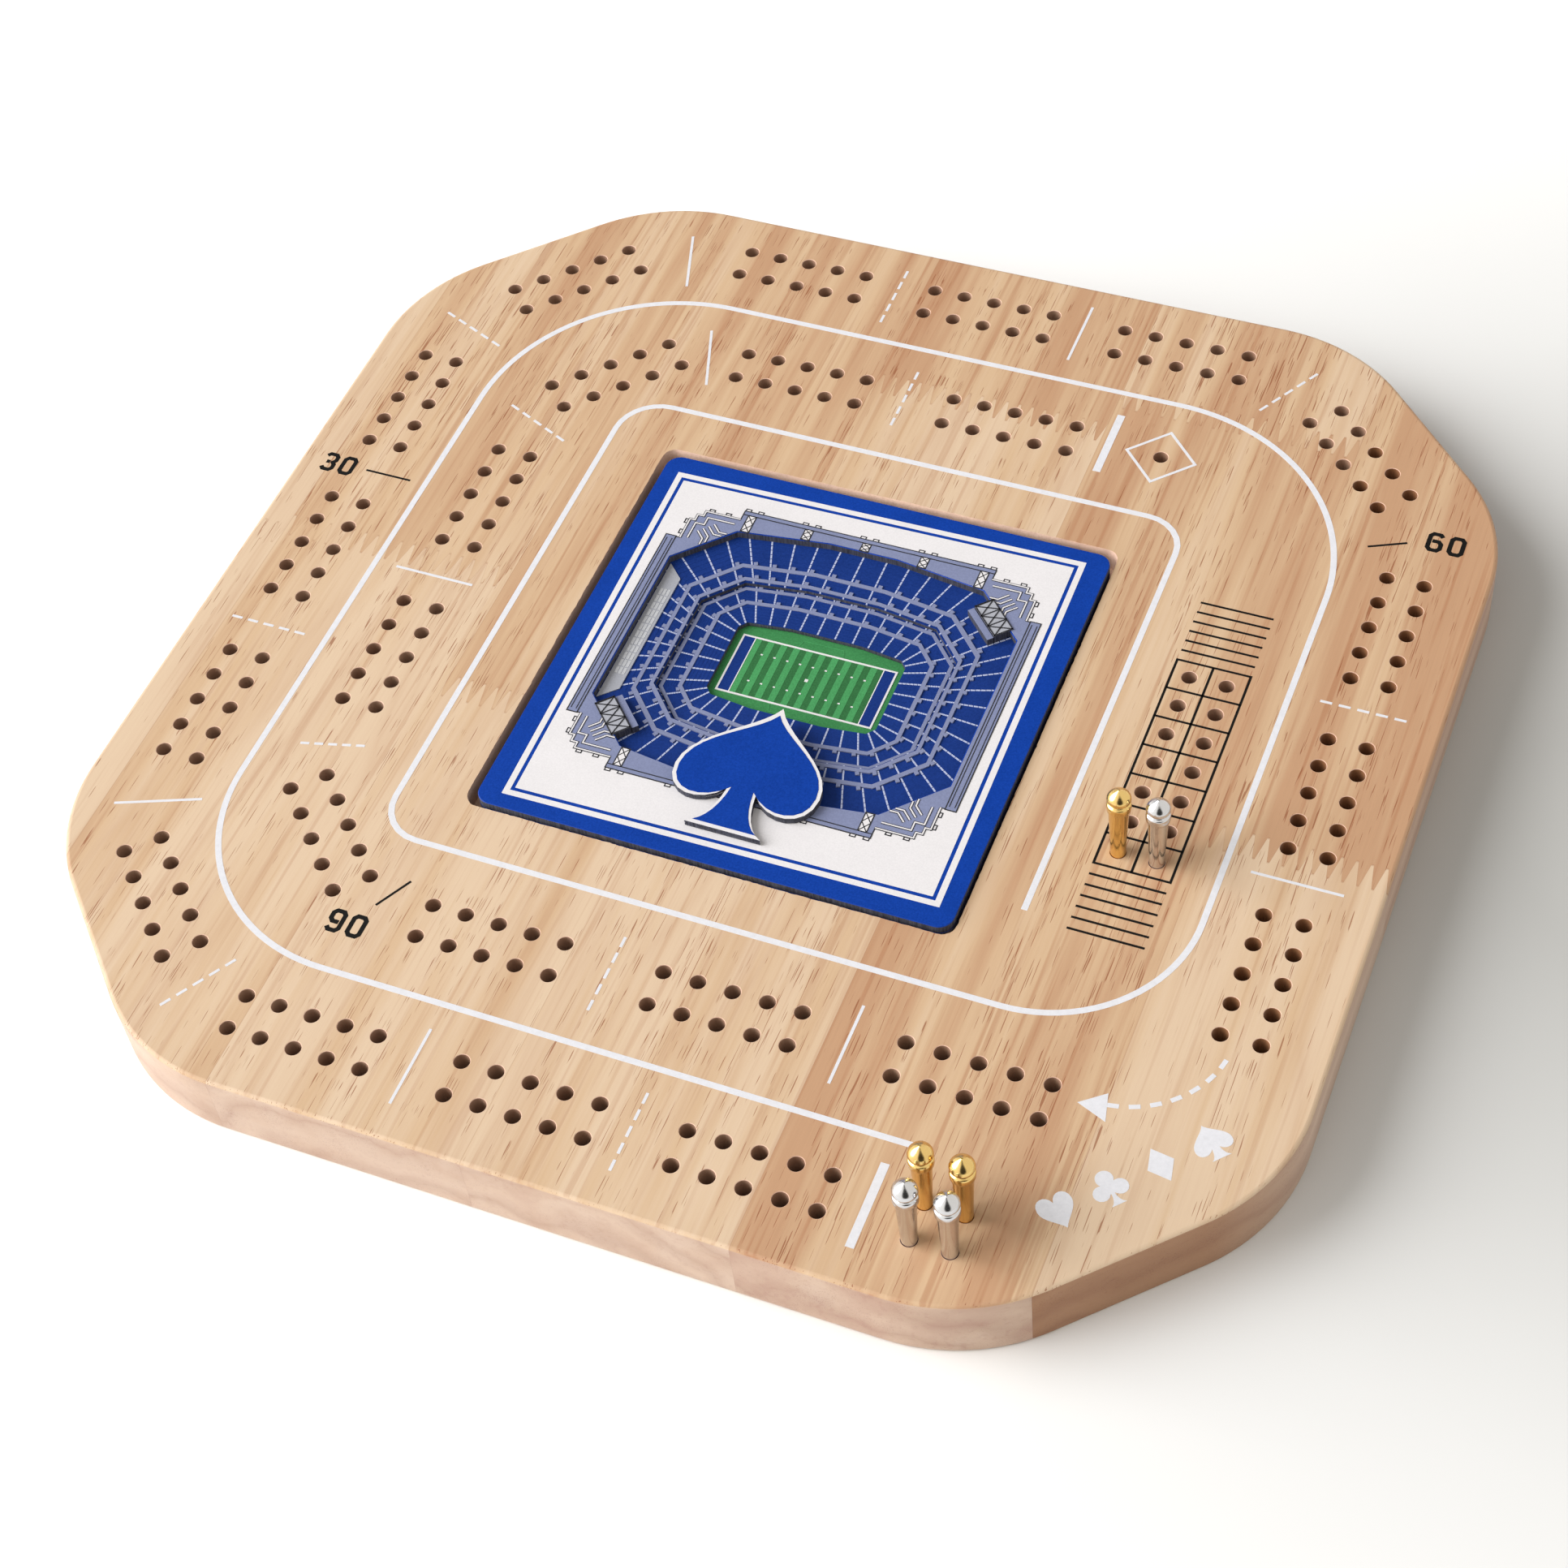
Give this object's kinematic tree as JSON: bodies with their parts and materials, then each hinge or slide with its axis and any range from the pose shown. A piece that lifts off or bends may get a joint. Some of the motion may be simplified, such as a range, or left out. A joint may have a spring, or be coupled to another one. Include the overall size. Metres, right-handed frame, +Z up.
{
  "type": "cribbage board",
  "caption": "Square cribbage board with cut corners, a peg track that winds round a layered stadium medallion, turned metal pegs and a covered peg store underneath.",
  "frame": {"origin": "middle of the underside, on the surface that the board rests on", "axes": "+Z up out of the board's playing face; +Y towards the far edge as a player reads the numerals; +X to that player's right, towards the games-won holes"},
  "size_m": [0.2556, 0.2556, 0.0352],
  "materials": {
    "board_wood": "satin clear lacquer over edge-glued honey-coloured hardwood staves",
    "adhesive": "double-sided foam pad",
    "printed_turf": "green print on thin fibreboard, satin",
    "printed_seats": "blue print with pale aisles on thin fibreboard, satin",
    "printed_border": "royal blue and white print on fibreboard, satin, dark sawn edges",
    "gold_plate": "polished",
    "nickel_plate": "polished",
    "cover_steel": "brushed",
    "screw_steel": "zinc plated",
    "white_ink": "screen-printed white ink",
    "black_ink": "burned or printed dark line"
  },
  "bodies": {
    "board_body": {"board": "board_wood", "adhesive_pad": "adhesive", "field_plate": "printed_turf", "lower_deck": "printed_seats", "upper_deck": "printed_seats", "medallion_frame": "printed_border", "spade_emblem": "printed_border", "cover_washer": "screw_steel", "cover_screw": "screw_steel"},
    "gold_peg_rear_body": {"gold_peg_rear": "gold_plate"},
    "gold_peg_front_body": {"gold_peg_front": "gold_plate"},
    "gold_tally_peg_body": {"gold_tally_peg": "gold_plate"},
    "silver_peg_rear_body": {"silver_peg_rear": "nickel_plate"},
    "silver_peg_front_body": {"silver_peg_front": "nickel_plate"},
    "silver_tally_peg_body": {"silver_tally_peg": "nickel_plate"},
    "cover_body": {"storage_cover": "cover_steel"}
  },
  "joints": [
    {"name": "gold_peg_rear_lift", "type": "slide", "parent": "board_body", "child": "gold_peg_rear_body", "axis": [0, 0, 1], "range_m": [0, 0.03]},
    {"name": "gold_peg_front_lift", "type": "slide", "parent": "board_body", "child": "gold_peg_front_body", "axis": [0, 0, 1], "range_m": [0, 0.03]},
    {"name": "gold_tally_peg_lift", "type": "slide", "parent": "board_body", "child": "gold_tally_peg_body", "axis": [0, 0, 1], "range_m": [0, 0.03]},
    {"name": "silver_peg_rear_lift", "type": "slide", "parent": "board_body", "child": "silver_peg_rear_body", "axis": [0, 0, 1], "range_m": [0, 0.03]},
    {"name": "silver_peg_front_lift", "type": "slide", "parent": "board_body", "child": "silver_peg_front_body", "axis": [0, 0, 1], "range_m": [0, 0.03]},
    {"name": "silver_tally_peg_lift", "type": "slide", "parent": "board_body", "child": "silver_tally_peg_body", "axis": [0, 0, 1], "range_m": [0, 0.03]},
    {"name": "cover_swivel", "type": "hinge", "parent": "board_body", "child": "cover_body", "pos_m": [0, 0, 0.0019], "axis": [0, 0, 1], "range_deg": [-180, 180]}
  ]
}
